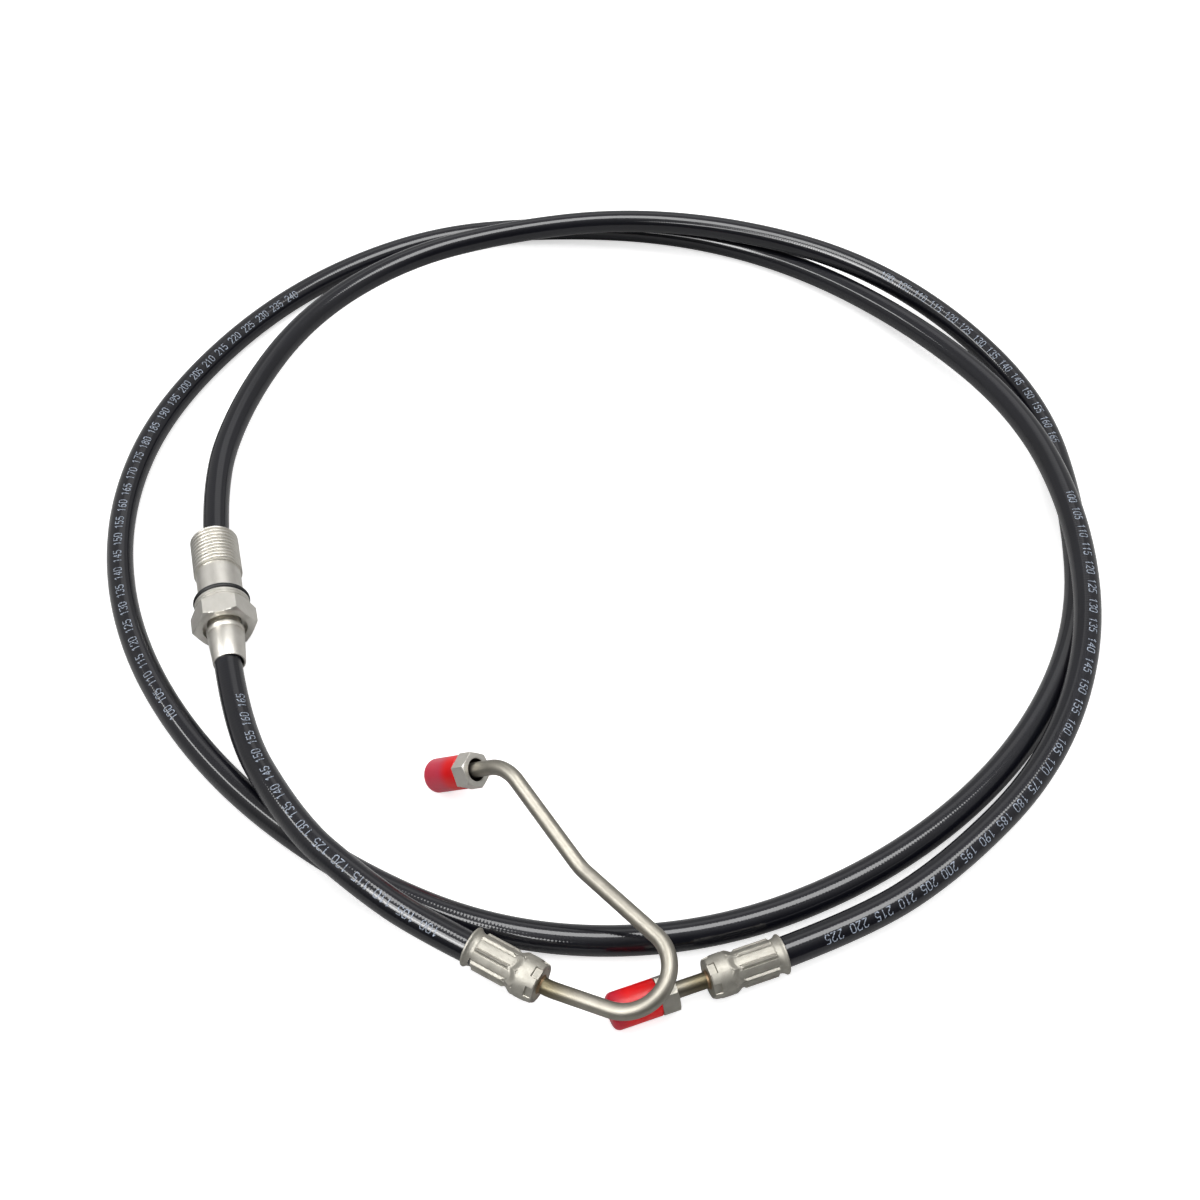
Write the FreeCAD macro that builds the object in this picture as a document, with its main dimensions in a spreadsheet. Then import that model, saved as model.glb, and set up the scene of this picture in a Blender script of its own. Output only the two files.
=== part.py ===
import FreeCAD, Part
import math
import os
import Sketcher
from FreeCAD import Placement, Rotation, Vector

# Hydraulic hose assembly lying in a loose coil of about two turns.
# Millimetres, +Z up. The resting surface is Z = 0, the origin lies under the
# middle of the metal fittings, and the bulkhead fitting stands on one hex flat.

doc = FreeCAD.newDocument("HoseAssembly")
dims = doc.addObject("Spreadsheet::Sheet", "dims")

sizes = {
    # hose: thermoplastic, 3/16 in bore
    "hoseOuter": 11.4,
    "hoseBore": 4.8,
    # clearances: pressed pieces, thread or tube in its bore, turning pieces
    "fitGap": 0.05,
    "threadGap": 0.1,
    "turnGap": 0.3,
    # steel tubes and their flared ends
    "tubeOuter": 6.0,
    "tubeBore": 4.0,
    "flareOuter": 8.5,
    "flareRim": 0.5,
    "boreShown": 22.0,
    # ferrules, stations from the flared mouth
    "ferruleLength": 29.2,
    "ferruleMouthOuter": 14.9,
    "flareDepth": 3.4,
    "crimpOuter": 12.9,
    "crimpEnd": 17.4,
    "collarOuter": 15.8,
    "collarRise": 3.6,
    # inserts: ribbed stem in the hose, head brazed to the tube
    "insertHead": 8.8,
    "stemTip": 2.0,
    "stemBore": 3.0,
    "ribCount": 2,
    "ribLength": 2.4,
    "ribDrop": 0.35,
    "socketDepth": 6.0,
    # tube nuts: M12 x 1, 13 mm across flats
    "nutFlats": 13.0,
    "nutHexLength": 6.6,
    "nutThreadOuter": 11.9,
    "nutLength": 20.5,
    "nutMouth": 8.2,
    "nutMouthDepth": 2.4,
    # protective caps
    "capOuter": 13.6,
    "capLength": 18.2,
    "capEnd": 1.5,
    "capBevel": 1.9,
    "capSeat": 0.1,
    # bulkhead sleeve, stations from its hose end
    "sleeveMouthOuter": 13.4,
    "sleeveHeadOuter": 15.9,
    "sleeveHeadEnd": 18.6,
    "sleeveRim": 1.6,
    "sleeveNeckOuter": 13.8,
    "flangeOuter": 16.2,
    "flangeLength": 3.0,
    # bulkhead body
    "hexFlats": 24.0,
    "hexStart": 19.0,
    "hexLength": 9.6,
    "bevelClear": 1.0,
    "recessOuter": 18.6,
    "recessDepth": 3.0,
    "lipLength": 2.0,
    "collarSeatOuter": 23.2,
    "seatStart": 33.0,
    "neckOuter": 19.1,
    "threadOuter": 20.8,
    "threadStart": 50.3,
    "threadEnd": 71.0,
    "threadChamfer": 0.9,
    "bodyBoreGap": 0.4,
    # seal ring
    "sealSection": 2.4,
    # where the fittings lie
    "bulkheadX": -97.1,
    "bulkheadY": 43.9,
    "bulkheadHeading": 104.6,
    "leftX": 10.3,
    "leftY": -86.1,
    "leftHeight": 15.4,
    "leftHeading": -29.5,
    "leftSlope": -0.8,
    "rightX": 122.5,
    "rightY": -85.5,
    "rightHeight": 8.4,
    "rightHeading": 199.5,
    "rightSlope": -0.9,
    "rightFeed": 12.6,
    # bend data of the left tube: straight, roll about it, turn, radius
    "exitFeed": 1.0,
    "exitRollAngle": 60.0,
    "exitTurnAngle": 11.0,
    "exitRadius": 25.0,
    "loopFeed": 21.0,
    "loopRollAngle": -48.0,
    "loopTurnAngle": 157.0,
    "loopRadius": 15.5,
    "backFeed": 36.0,
    "backRollAngle": 138.0,
    "backTurnAngle": 14.0,
    "backRadius": 25.0,
    "dropFeed": 39.0,
    "dropRollAngle": 177.0,
    "dropTurnAngle": 55.5,
    "dropRadius": 15.0,
    "nutFeed": 8.0,
}

for row, (alias, amount) in enumerate(sizes.items(), start=1):
    dims.set(f"A{row}", alias)
    dims.set(f"B{row}", str(amount))
    dims.setAlias(f"B{row}", alias)
doc.recompute()


class Dim:
    # a length together with the sheet expression that gives it
    def __init__(self, amount, text):
        self.amount = float(amount)
        self.text = text

    def __add__(self, other):
        return joined(self, "+", other)

    def __sub__(self, other):
        return joined(self, "-", other)

    def __mul__(self, other):
        return joined(self, "*", other)

    def __truediv__(self, other):
        return joined(self, "/", other)

    def __neg__(self):
        return Dim(-self.amount, f"(0 - {self.text})")

    def __float__(self):
        return self.amount


def asDim(item):
    return item if isinstance(item, Dim) else Dim(item, f"{item:.9g}")


def joined(left, sign, right):
    left = asDim(left)
    right = asDim(right)
    if sign == "+":
        amount = left.amount + right.amount
    elif sign == "-":
        amount = left.amount - right.amount
    elif sign == "*":
        amount = left.amount * right.amount
    else:
        amount = left.amount / right.amount
    return Dim(amount, f"({left.text} {sign} {right.text})")


def dim(alias):
    return Dim(dims.get(alias), f"dims.{alias}")


def bind(item, prop, length):
    item.setExpression(prop, asDim(length).text)


# sketches and features

def newBody(name):
    body = doc.addObject("PartDesign::Body", name)
    body.Label = name
    return body


def newSketch(body, name, role, station=None):
    sketch = body.newObject("Sketcher::SketchObject", f"{body.Name}_{name}")
    plane = [item for item in body.Origin.OriginFeatures if item.Role == role][0]
    sketch.AttachmentSupport = [(plane, "")]
    sketch.MapMode = "FlatFace"
    if station is not None:
        sketch.AttachmentOffset = Placement(Vector(0, 0, float(station)), Rotation())
        bind(sketch, "AttachmentOffset.Base.z", station)
    return sketch


def outline(sketch, corners):
    # closed outline of straight lines, every corner bound to the sheet
    origin, startPoint, endPoint = -1, 1, 2
    points = [Vector(float(across), float(up), 0) for across, up in corners]
    for here, there in zip(points, points[1:] + points[:1]):
        sketch.addGeometry(Part.LineSegment(here, there), False)
    for index, corner in enumerate(corners):
        before = (index - 1) % len(corners)
        meet = Sketcher.Constraint("Coincident", before, endPoint, index, startPoint)
        sketch.addConstraint(meet)
        for kind, length, axis in (("DistanceX", corner[0], -2), ("DistanceY", corner[1], -1)):
            if float(length) == 0:
                sketch.addConstraint(Sketcher.Constraint("PointOnObject", index, startPoint, axis))
            else:
                reach = Sketcher.Constraint(kind, origin, startPoint, index, startPoint, float(length))
                number = sketch.addConstraint(reach)
                bind(sketch, f"Constraints[{number}]", length)


def revolve(body, name, corners, kind="PartDesign::Revolution"):
    sketch = newSketch(body, f"{name}_outline", "XZ_Plane")
    outline(sketch, corners)
    before = body.Shape.Volume if body.Tip else 0
    feature = body.newObject(kind, f"{body.Name}_{name}")
    feature.Profile = sketch
    feature.ReferenceAxis = (sketch, ["V_Axis"])
    feature.Angle = 360
    doc.recompute()
    changed(body, name, before, kind.endswith("Revolution"))


def groove(body, name, corners):
    revolve(body, name, corners, "PartDesign::Groove")


def prism(body, name, corners, station, height):
    sketch = newSketch(body, f"{name}_outline", "XY_Plane", station)
    outline(sketch, corners)
    before = body.Shape.Volume if body.Tip else 0
    feature = body.newObject("PartDesign::Pad", f"{body.Name}_{name}")
    feature.Profile = sketch
    feature.Length = float(height)
    bind(feature, "Length", height)
    doc.recompute()
    changed(body, name, before, True)


def changed(body, name, before, added):
    leastChange = 1e-6
    volume = body.Shape.Volume
    if (volume > before) != added or abs(volume - before) < leastChange:
        raise RuntimeError(f"{body.Name}: {name} left the volume at {volume:.2f}")


bevelAngle = 30
# the square of a hexagon's width across the flats over its corner radius
hexSquare = 3


def hexagon(flats):
    # flats face the local X axis, corners point along the local Y axis
    corner = flats / math.sqrt(hexSquare)
    half = flats / 2
    return [(half, -(corner / 2)), (half, corner / 2), (0, corner),
            (-half, corner / 2), (-half, -(corner / 2)), (0, -corner)]


def bevel(body, name, flats, face):
    # takes the corners of a hexagon off at the face where it starts
    foot = flats / 2
    corner = flats / math.sqrt(hexSquare)
    reach = (corner - foot) * math.tan(math.radians(bevelAngle))
    outside = corner + dim("bevelClear")
    groove(body, name, [
        (foot, face),
        (outside, face),
        (outside, face + reach),
        (corner, face + reach),
    ])


# placements: the local Z axis runs along a fitting, the local X axis points up

def heading(turn, slope=0):
    flat = math.cos(math.radians(slope))
    return Vector(flat * math.cos(math.radians(turn)), flat * math.sin(math.radians(turn)),
                  math.sin(math.radians(slope)))


def lyingAlong(point, direction):
    axis = Vector(direction).normalize()
    across = axis.cross(Vector(0, 0, 1)).normalize()
    return Placement(point, Rotation(across.cross(axis), across, axis, "ZXY"))


bulkheadStart = Vector(sizes["bulkheadX"], sizes["bulkheadY"], sizes["hexFlats"] / 2)
bulkheadAlong = heading(sizes["bulkheadHeading"])
leftMouth = Vector(sizes["leftX"], sizes["leftY"], sizes["leftHeight"])
leftAlong = heading(sizes["leftHeading"], sizes["leftSlope"])
rightMouth = Vector(sizes["rightX"], sizes["rightY"], sizes["rightHeight"])
rightAlong = heading(sizes["rightHeading"], sizes["rightSlope"])


# bulkhead: sleeve crimped on the hose, threaded body turning on the sleeve

sleeveBore = dim("hoseOuter") / 2 + dim("fitGap")
recessFloor = dim("hexStart") + dim("recessDepth")
lipEnd = recessFloor + dim("lipLength")
flangeStart = lipEnd + dim("turnGap")
flangeEnd = flangeStart + dim("flangeLength")
chamberEnd = flangeEnd + dim("turnGap")

sleeve = newBody("bulkhead_sleeve")
revolve(sleeve, "turned", [
    (sleeveBore, 0),
    (dim("sleeveMouthOuter") / 2, 0),
    (dim("sleeveHeadOuter") / 2, dim("sleeveHeadEnd") - dim("sleeveRim")),
    (dim("sleeveHeadOuter") / 2, dim("sleeveHeadEnd")),
    (dim("sleeveNeckOuter") / 2, dim("sleeveHeadEnd")),
    (dim("sleeveNeckOuter") / 2, flangeStart),
    (dim("flangeOuter") / 2, flangeStart),
    (dim("flangeOuter") / 2, flangeEnd),
    (sleeveBore, flangeEnd),
])
sleeve.Placement = lyingAlong(bulkheadStart, bulkheadAlong)

hexEnd = dim("hexStart") + dim("hexLength")
bodyBore = dim("hoseOuter") / 2 + dim("bodyBoreGap")
neckRadius = dim("neckOuter") / 2
threadRadius = dim("threadOuter") / 2

fitting = newBody("bulkhead_body")
prism(fitting, "hexagon", hexagon(dim("hexFlats")), dim("hexStart"), dim("hexLength"))
revolve(fitting, "stem", [
    (0, hexEnd),
    (dim("collarSeatOuter") / 2, hexEnd),
    (dim("collarSeatOuter") / 2, dim("seatStart")),
    (neckRadius, dim("seatStart")),
    (neckRadius, dim("threadStart")),
    (threadRadius, dim("threadStart")),
    (threadRadius, dim("threadEnd") - dim("threadChamfer")),
    (threadRadius - dim("threadChamfer"), dim("threadEnd")),
    (0, dim("threadEnd")),
])
groove(fitting, "bore", [
    (0, dim("hexStart")),
    (dim("recessOuter") / 2, dim("hexStart")),
    (dim("recessOuter") / 2, recessFloor),
    (dim("sleeveNeckOuter") / 2 + dim("turnGap"), recessFloor),
    (dim("sleeveNeckOuter") / 2 + dim("turnGap"), lipEnd),
    (dim("flangeOuter") / 2 + dim("turnGap"), lipEnd),
    (dim("flangeOuter") / 2 + dim("turnGap"), chamberEnd),
    (bodyBore, chamberEnd),
    (bodyBore, dim("threadEnd")),
    (0, dim("threadEnd")),
])
bevel(fitting, "bevel", dim("hexFlats"), dim("hexStart"))
fitting.Placement = lyingAlong(bulkheadStart, bulkheadAlong)

sealRing = newBody("bulkhead_seal_ring")
sealInner = neckRadius + dim("fitGap")
sealStart = dim("seatStart") + dim("fitGap")
revolve(sealRing, "ring", [
    (sealInner, sealStart),
    (sealInner + dim("sealSection"), sealStart),
    (sealInner + dim("sealSection"), sealStart + dim("sealSection")),
    (sealInner, sealStart + dim("sealSection")),
])
sealRing.Placement = lyingAlong(bulkheadStart, bulkheadAlong)


# crimped ends: ferrule over the hose, insert with ribs inside it

hoseDepth = dim("ferruleLength") - dim("insertHead")


def makeFerrule(name, mouth, along):
    ferrule = newBody(name)
    bore = dim("hoseOuter") / 2 + dim("fitGap")
    crimp = dim("crimpOuter") / 2
    collar = dim("collarOuter") / 2
    revolve(ferrule, "shell", [
        (bore, 0),
        (dim("ferruleMouthOuter") / 2, 0),
        (crimp, dim("flareDepth")),
        (crimp, dim("crimpEnd")),
        (collar, dim("crimpEnd") + dim("collarRise")),
        (collar, dim("ferruleLength")),
        (bore, dim("ferruleLength")),
    ])
    ferrule.Placement = lyingAlong(mouth, along)


def makeInsert(name, mouth, along):
    insert = newBody(name)
    crest = dim("hoseBore") / 2 - dim("fitGap")
    stem = crest - dim("ribDrop")
    stemBore = dim("stemBore") / 2
    body = dim("hoseOuter") / 2
    bodyStart = hoseDepth + dim("fitGap")
    socket = dim("tubeOuter") / 2 + dim("fitGap")
    socketFloor = dim("ferruleLength") - dim("socketDepth") - dim("fitGap")
    pitch = (hoseDepth - dim("stemTip")) / (dim("ribCount") + 1)
    corners = [(stemBore, dim("stemTip")), (stem, dim("stemTip"))]
    for index in range(int(round(sizes["ribCount"]))):
        start = dim("stemTip") + pitch * (index + 1) - dim("ribLength") / 2
        end = start + dim("ribLength")
        corners += [(stem, start), (crest, start), (crest, end), (stem, end)]
    corners += [
        (stem, bodyStart),
        (body, bodyStart),
        (body, dim("ferruleLength")),
        (socket, dim("ferruleLength")),
        (socket, socketFloor),
        (stemBore, socketFloor),
    ]
    revolve(insert, "turned", corners)
    insert.Placement = lyingAlong(mouth, along)


makeFerrule("left_ferrule", leftMouth, leftAlong)
makeInsert("left_insert", leftMouth, leftAlong)
makeFerrule("right_ferrule", rightMouth, rightAlong)
makeInsert("right_insert", rightMouth, rightAlong)


# steel tubes: bend data give the centre line, the far end is flared at 45 degrees

def bentLine(start, along, table, last):
    # edges of the centre line, with the point and direction where it ends
    point = Vector(start)
    ahead = Vector(along).normalize()
    side = Vector(0, 0, 1).cross(ahead).normalize()
    edges = []
    for feed, roll, turn, radius in table:
        there = point + ahead * feed
        edges.append(Part.LineSegment(point, there).toShape())
        side = Rotation(ahead, roll).multVec(side)
        centre = there + side * radius
        normal = ahead.cross(side)
        quarter = Rotation(normal, turn / 2)
        half = centre + quarter.multVec(there - centre)
        point = centre + quarter.multVec(half - centre)
        ahead = Rotation(normal, turn).multVec(ahead)
        side = Rotation(normal, turn).multVec(side)
        edges.append(Part.Arc(there, half, point).toShape())
    there = point + ahead * last
    edges.append(Part.LineSegment(point, there).toShape())
    return edges, there, ahead


def pathObject(name, edges):
    path = doc.addObject("Part::Feature", name)
    path.Label = name
    path.Shape = Part.Wire(edges)
    return path


def roundBar(name, path, diameter, sides):
    # solid along a path; its section is a regular polygon with the corners on the circle
    section = doc.addObject("Part::RegularPolygon", f"{name}_section")
    section.Polygon = sides
    bind(section, "Circumradius", diameter / 2)
    first = path.Shape.Edges[0]
    place = lyingAlong(first.valueAt(first.FirstParameter), first.tangentAt(first.FirstParameter))
    halfSide = math.degrees(math.pi / sides)
    section.Placement = place * Placement(Vector(), Rotation(Vector(0, 0, 1), halfSide))
    bar = doc.addObject("Part::Sweep", name)
    bar.Sections = [section]
    bar.Spine = (path, [f"Edge{i}" for i in range(1, len(path.Shape.Edges) + 1)])
    bar.Solid = True
    bar.Frenet = False
    return bar


def coneAt(name, place, small, large, height):
    cone = doc.addObject("Part::Cone", name)
    bind(cone, "Radius1", small)
    bind(cone, "Radius2", large)
    bind(cone, "Height", height)
    cone.Placement = place
    return cone


def rodAt(name, place, radius, height):
    rod = doc.addObject("Part::Cylinder", name)
    bind(rod, "Radius", radius)
    bind(rod, "Height", height)
    rod.Placement = place
    return rod


# the tube is left solid behind the bore that its open end shows
tubeSides = 12
flareRise = (dim("flareOuter") - dim("tubeOuter")) / 2
nutConeStart = dim("nutLength") - flareRise
flareStart = nutConeStart + dim("turnGap") + dim("fitGap")


def makeTube(name, mouth, along, table, last):
    start = mouth + along * (sizes["ferruleLength"] - sizes["socketDepth"])
    reach = last + float(flareStart)
    edges, end, ahead = bentLine(start, along, table, reach)
    path = pathObject(f"{name}_line", edges)
    outer = roundBar(f"{name}_outside", path, dim("tubeOuter"), tubeSides)
    borePlace = lyingAlong(end - ahead * sizes["boreShown"], ahead)
    hollow = rodAt(f"{name}_bore", borePlace, dim("tubeBore") / 2, dim("boreShown"))
    place = lyingAlong(end, ahead)
    rimPlace = lyingAlong(end + ahead * float(flareRise), ahead)
    cone = coneAt(f"{name}_cone", place, dim("tubeOuter") / 2, dim("flareOuter") / 2, flareRise)
    rim = rodAt(f"{name}_rim", rimPlace, dim("flareOuter") / 2, dim("flareRim"))
    mouthCone = coneAt(f"{name}_mouth", place, dim("tubeBore") / 2,
                       dim("tubeBore") / 2 + flareRise + dim("flareRim"),
                       flareRise + dim("flareRim"))
    solid = doc.addObject("Part::MultiFuse", f"{name}_solid")
    solid.Shapes = [outer, cone, rim]
    opening = doc.addObject("Part::MultiFuse", f"{name}_opening")
    opening.Shapes = [hollow, mouthCone]
    tube = doc.addObject("Part::Cut", name)
    tube.Label = name
    tube.Base = solid
    tube.Tool = opening
    nutStart = end - ahead * float(flareStart)
    return nutStart, ahead


leftTable = []
for stage in ("exit", "loop", "back", "drop"):
    leftTable.append((sizes[f"{stage}Feed"], sizes[f"{stage}RollAngle"],
                      sizes[f"{stage}TurnAngle"], sizes[f"{stage}Radius"]))
leftTable[0] = (leftTable[0][0] + sizes["socketDepth"],) + leftTable[0][1:]
leftNutStart, leftNutAlong = makeTube("left_tube", leftMouth, leftAlong,
                                      leftTable, sizes["nutFeed"])
rightNutStart, rightNutAlong = makeTube("right_tube", rightMouth, rightAlong, [],
                                        sizes["rightFeed"] + sizes["socketDepth"])


# tube nuts and the push-on caps over their threads

def makeNut(name, start, along):
    nut = newBody(name)
    thread = dim("nutThreadOuter") / 2
    tubeRadius = dim("tubeOuter") / 2 + dim("fitGap")
    prism(nut, "hexagon", hexagon(dim("nutFlats")), Dim(0, "0"), dim("nutHexLength"))
    revolve(nut, "shank", [
        (0, dim("nutHexLength")),
        (thread, dim("nutHexLength")),
        (thread, dim("nutLength")),
        (0, dim("nutLength")),
    ])
    groove(nut, "bore", [
        (0, 0),
        (dim("nutMouth") / 2, 0),
        (dim("nutMouth") / 2, dim("nutMouthDepth")),
        (tubeRadius, dim("nutMouthDepth")),
        (tubeRadius, nutConeStart),
        (tubeRadius + flareRise, dim("nutLength")),
        (0, dim("nutLength")),
    ])
    bevel(nut, "bevel", dim("nutFlats"), Dim(0, "0"))
    nut.Placement = lyingAlong(start, along)


def makeCap(name, start, along):
    cap = newBody(name)
    outer = dim("capOuter") / 2
    inner = dim("nutThreadOuter") / 2 + dim("threadGap")
    floor = dim("capLength") - dim("capEnd")
    revolve(cap, "cup", [
        (inner, 0),
        (outer, 0),
        (outer, dim("capLength") - dim("capBevel")),
        (outer - dim("capBevel"), dim("capLength")),
        (0, dim("capLength")),
        (0, floor),
        (inner, floor),
    ])
    mouth = start + along * (sizes["nutHexLength"] + sizes["capSeat"])
    cap.Placement = lyingAlong(mouth, along)


makeNut("left_nut", leftNutStart, leftNutAlong)
makeCap("left_cap", leftNutStart, leftNutAlong)
makeNut("right_nut", rightNutStart, rightNutAlong)
makeCap("right_cap", rightNutStart, rightNutAlong)


# hose: two free stretches that meet face to face in the middle of the bulkhead

hoseSides = 10
hoseMiddle = bulkheadStart + bulkheadAlong * (sizes["threadEnd"] / 2)
insideFerrule = float(hoseDepth)
longRun = 29.0
shortRun = 26.0
mouthRun = 20.0
rightMouthRun = 26.0

longRoute = [
    hoseMiddle,
    bulkheadStart + bulkheadAlong * (sizes["threadEnd"] + longRun),
    (-115.0, 204.5, 12.5),
    (-89.0, 265.5, 13.5),
    (-48.0, 312.0, 15.0),
    (5.5, 336.5, 16.5),
    (66.5, 342.0, 18.1),
    (128.5, 336.0, 18.3),
    (189.5, 312.0, 15.0),
    (238.5, 269.5, 10.0),
    (270.0, 207.5, 6.2),
    (274.0, 136.5, 5.7),
    (261.0, 64.5, 5.7),
    (223.0, 0.5, 5.7),
    (165.5, -49.5, 5.7),
    (96.5, -78.5, 5.7),
    (23.5, -78.5, 5.7),
    (-43.5, -49.5, 5.7),
    (-102.5, 0.5, 5.7),
    (-147.5, 65.5, 5.7),
    (-166.5, 139.5, 5.7),
    (-153.0, 212.5, 5.7),
    (-108.5, 292.0, 5.7),
    (-41.5, 341.5, 5.7),
    (28.5, 351.5, 5.7),
    (100.5, 345.0, 5.7),
    (162.5, 314.5, 6.5),
    (217.0, 259.5, 10.5),
    (256.0, 192.5, 16.9),
    (270.0, 123.5, 18.4),
    (262.0, 52.5, 17.4),
    (234.0, -6.5, 12.5),
    (188.0, -53.0, 9.5),
    rightMouth - rightAlong * rightMouthRun,
    rightMouth + rightAlong * insideFerrule,
]
shortRoute = [
    leftMouth + leftAlong * insideFerrule,
    leftMouth - leftAlong * mouthRun,
    (-32.0, -62.5, 19.2),
    (-61.0, -38.5, 18.8),
    bulkheadStart - bulkheadAlong * shortRun,
    hoseMiddle,
]


def softLine(name, route):
    # straight runs joined by arcs of 0.45 of the shorter run
    points = [Vector(*p) if isinstance(p, tuple) else Vector(p) for p in route]
    share = 0.45
    edges = []
    radii = []
    here = points[0]
    for before, corner, after in zip(points, points[1:], points[2:]):
        back = (before - corner).normalize()
        ahead = (after - corner).normalize()
        shorter = min((before - corner).Length, (after - corner).Length)
        setback = share * shorter
        turn = math.pi - back.getAngle(ahead)
        radius = setback / math.tan(turn / 2)
        radii.append(radius)
        first = corner + back * setback
        last = corner + ahead * setback
        bisector = (back + ahead).normalize()
        middle = corner + bisector * (radius / math.cos(turn / 2) - radius)
        edges.append(Part.LineSegment(here, first).toShape())
        edges.append(Part.Arc(first, middle, last).toShape())
        here = last
    edges.append(Part.LineSegment(here, points[-1]).toShape())
    print(name, "radii", " ".join(f"{r:.0f}" for r in radii))
    return pathObject(f"{name}_line", edges)


def makeHose(name, route, mouth, along):
    path = softLine(name, route)
    bar = roundBar(f"{name}_outside", path, dim("hoseOuter"), hoseSides)
    stemHole = rodAt(f"{name}_stem_hole", lyingAlong(mouth, along),
                     dim("hoseBore") / 2, hoseDepth)
    hose = doc.addObject("Part::Cut", name)
    hose.Label = name
    hose.Base = bar
    hose.Tool = stemHole
    return path, bar


longLine, longBar = makeHose("hose_long", longRoute, rightMouth, rightAlong)
shortLine, shortBar = makeHose("hose_short", shortRoute, leftMouth, leftAlong)

doc.recompute()


# checks

def sampled(path, step):
    points = []
    for edge in path.Shape.Edges:
        count = max(2, int(edge.Length / step))
        points += edge.discretize(count + 1)[:-1]
    return points


def leastGap(first, second, skip, diameter):
    # skip leaves out neighbours along one and the same line
    least = None
    for i, here in enumerate(first):
        for there in second[i + skip:] if first is second else second:
            apart = (here - there).Length - diameter
            if least is None or apart < least:
                least = apart
    return least


step = 4.0
section = hoseSides / 2 * (sizes["hoseOuter"] / 2) ** 2 * math.sin(2 * math.pi / hoseSides)
for bar, path in ((longBar, longLine), (shortBar, shortLine)):
    length = path.Shape.Length
    print(path.Label, f"length {length:.1f}, volume / (section x length)",
          f"{bar.Shape.Volume / (section * length):.5f}")
longPoints = sampled(longLine, step)
shortPoints = sampled(shortLine, step)
# neighbours along the line and the meeting of the stretches are left out
neighbourLength = 6 * sizes["hoseOuter"]
skipped = int(neighbourLength / step)
apartPoints = [p for p in shortPoints if (p - hoseMiddle).Length > neighbourLength]
print("least gap of the long stretch to itself",
      f"{leastGap(longPoints, longPoints, skipped, sizes['hoseOuter']):.2f}")
print("least gap between the stretches",
      f"{leastGap(apartPoints, longPoints, 0, sizes['hoseOuter']):.2f}")

nodes = ["hose_long", "hose_short", "left_ferrule", "left_insert", "left_tube", "left_nut",
         "left_cap", "right_ferrule", "right_insert", "right_tube", "right_nut", "right_cap",
         "bulkhead_sleeve", "bulkhead_body", "bulkhead_seal_ring"]

for item in doc.Objects:
    if "Invalid" in item.State or "Error" in item.State:
        raise RuntimeError(f"{item.Name} is {item.State}")

os.makedirs("parts", exist_ok=True)
fittingsBox = FreeCAD.BoundBox()
for name in nodes:
    item = doc.getObject(name)
    shape = item.Shape
    if shape.isNull() or not shape.isValid() or len(shape.Solids) != 1:
        raise RuntimeError(f"{name} is not one valid solid")
    box = shape.optimalBoundingBox(False)
    if not name.startswith("hose"):
        fittingsBox.add(box)
    print(f"{name} volume {shape.Volume:.1f} low {box.ZMin:.2f}")
for name in nodes:
    doc.getObject(name).Shape.exportStep(f"parts/{name}.step")
print("fittings box", fittingsBox)
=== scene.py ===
import bmesh
import bpy
import math
from mathutils import Matrix, Quaternion, Vector


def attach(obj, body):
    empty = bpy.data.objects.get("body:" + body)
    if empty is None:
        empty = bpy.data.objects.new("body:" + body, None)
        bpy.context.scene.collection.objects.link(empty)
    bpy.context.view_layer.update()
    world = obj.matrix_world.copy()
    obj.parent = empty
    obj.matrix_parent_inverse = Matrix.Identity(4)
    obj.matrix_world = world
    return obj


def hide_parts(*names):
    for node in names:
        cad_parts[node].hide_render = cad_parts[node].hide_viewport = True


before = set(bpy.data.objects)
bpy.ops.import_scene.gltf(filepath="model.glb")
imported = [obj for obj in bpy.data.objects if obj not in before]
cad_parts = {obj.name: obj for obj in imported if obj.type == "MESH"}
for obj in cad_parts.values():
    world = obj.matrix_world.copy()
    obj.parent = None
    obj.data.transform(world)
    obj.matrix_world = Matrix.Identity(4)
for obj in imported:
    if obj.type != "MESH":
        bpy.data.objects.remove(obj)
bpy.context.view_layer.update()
mm = 0.001

# Hydraulic hose laid in a loose coil. Sizes are in millimetres unless a note says otherwise,
# and become metres where a mesh, a camera or a lamp is made. A fitting's own Z axis runs along
# it and its X axis points up. An outline is a closed list of (station on Z, radius).


# camera and view

view = {
    "aim": (56.5, 88.4, 0.0),
    "distance": 660.0,
    "elevation": 50.0,  # degrees
    "lens": 45.0,
    "sensor": 36.0,
    "nearClip": 10.0,
}


def makeCamera():
    data = bpy.data.cameras.new("camera")
    data.lens = view["lens"]
    data.sensor_width = view["sensor"]
    data.sensor_fit = "HORIZONTAL"
    data.clip_start = view["nearClip"] * mm
    camera = bpy.data.objects.new("camera", data)
    bpy.context.scene.collection.objects.link(camera)
    tilt = math.radians(view["elevation"])
    back = Vector((0, -math.cos(tilt), math.sin(tilt))) * view["distance"]
    camera.location = (Vector(view["aim"]) + back) * mm
    camera.rotation_euler = (math.pi / 2 - tilt, 0, 0)
    bpy.context.scene.camera = camera
    return back.normalized()


toViewer = makeCamera()
print("camera placed")


# lines through space

def splinePoints(name, route):
    # points on the route's own smooth line, in millimetres
    curve = bpy.data.curves.new(name, "CURVE")
    curve.dimensions = "3D"
    curve.resolution_u = 40  # points for each one of the route's
    spline = curve.splines.new("NURBS")
    spline.points.add(len(route) - 1)
    for point, place in zip(spline.points, route):
        point.co = (*place, 1.0)
    spline.order_u = 3
    spline.use_endpoint_u = True
    holder = bpy.data.objects.new(name, curve)
    mesh = bpy.data.meshes.new_from_object(holder)
    points = [vertex.co.copy() for vertex in mesh.vertices]
    bpy.data.objects.remove(holder)
    bpy.data.meshes.remove(mesh)
    bpy.data.curves.remove(curve)
    return points


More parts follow.
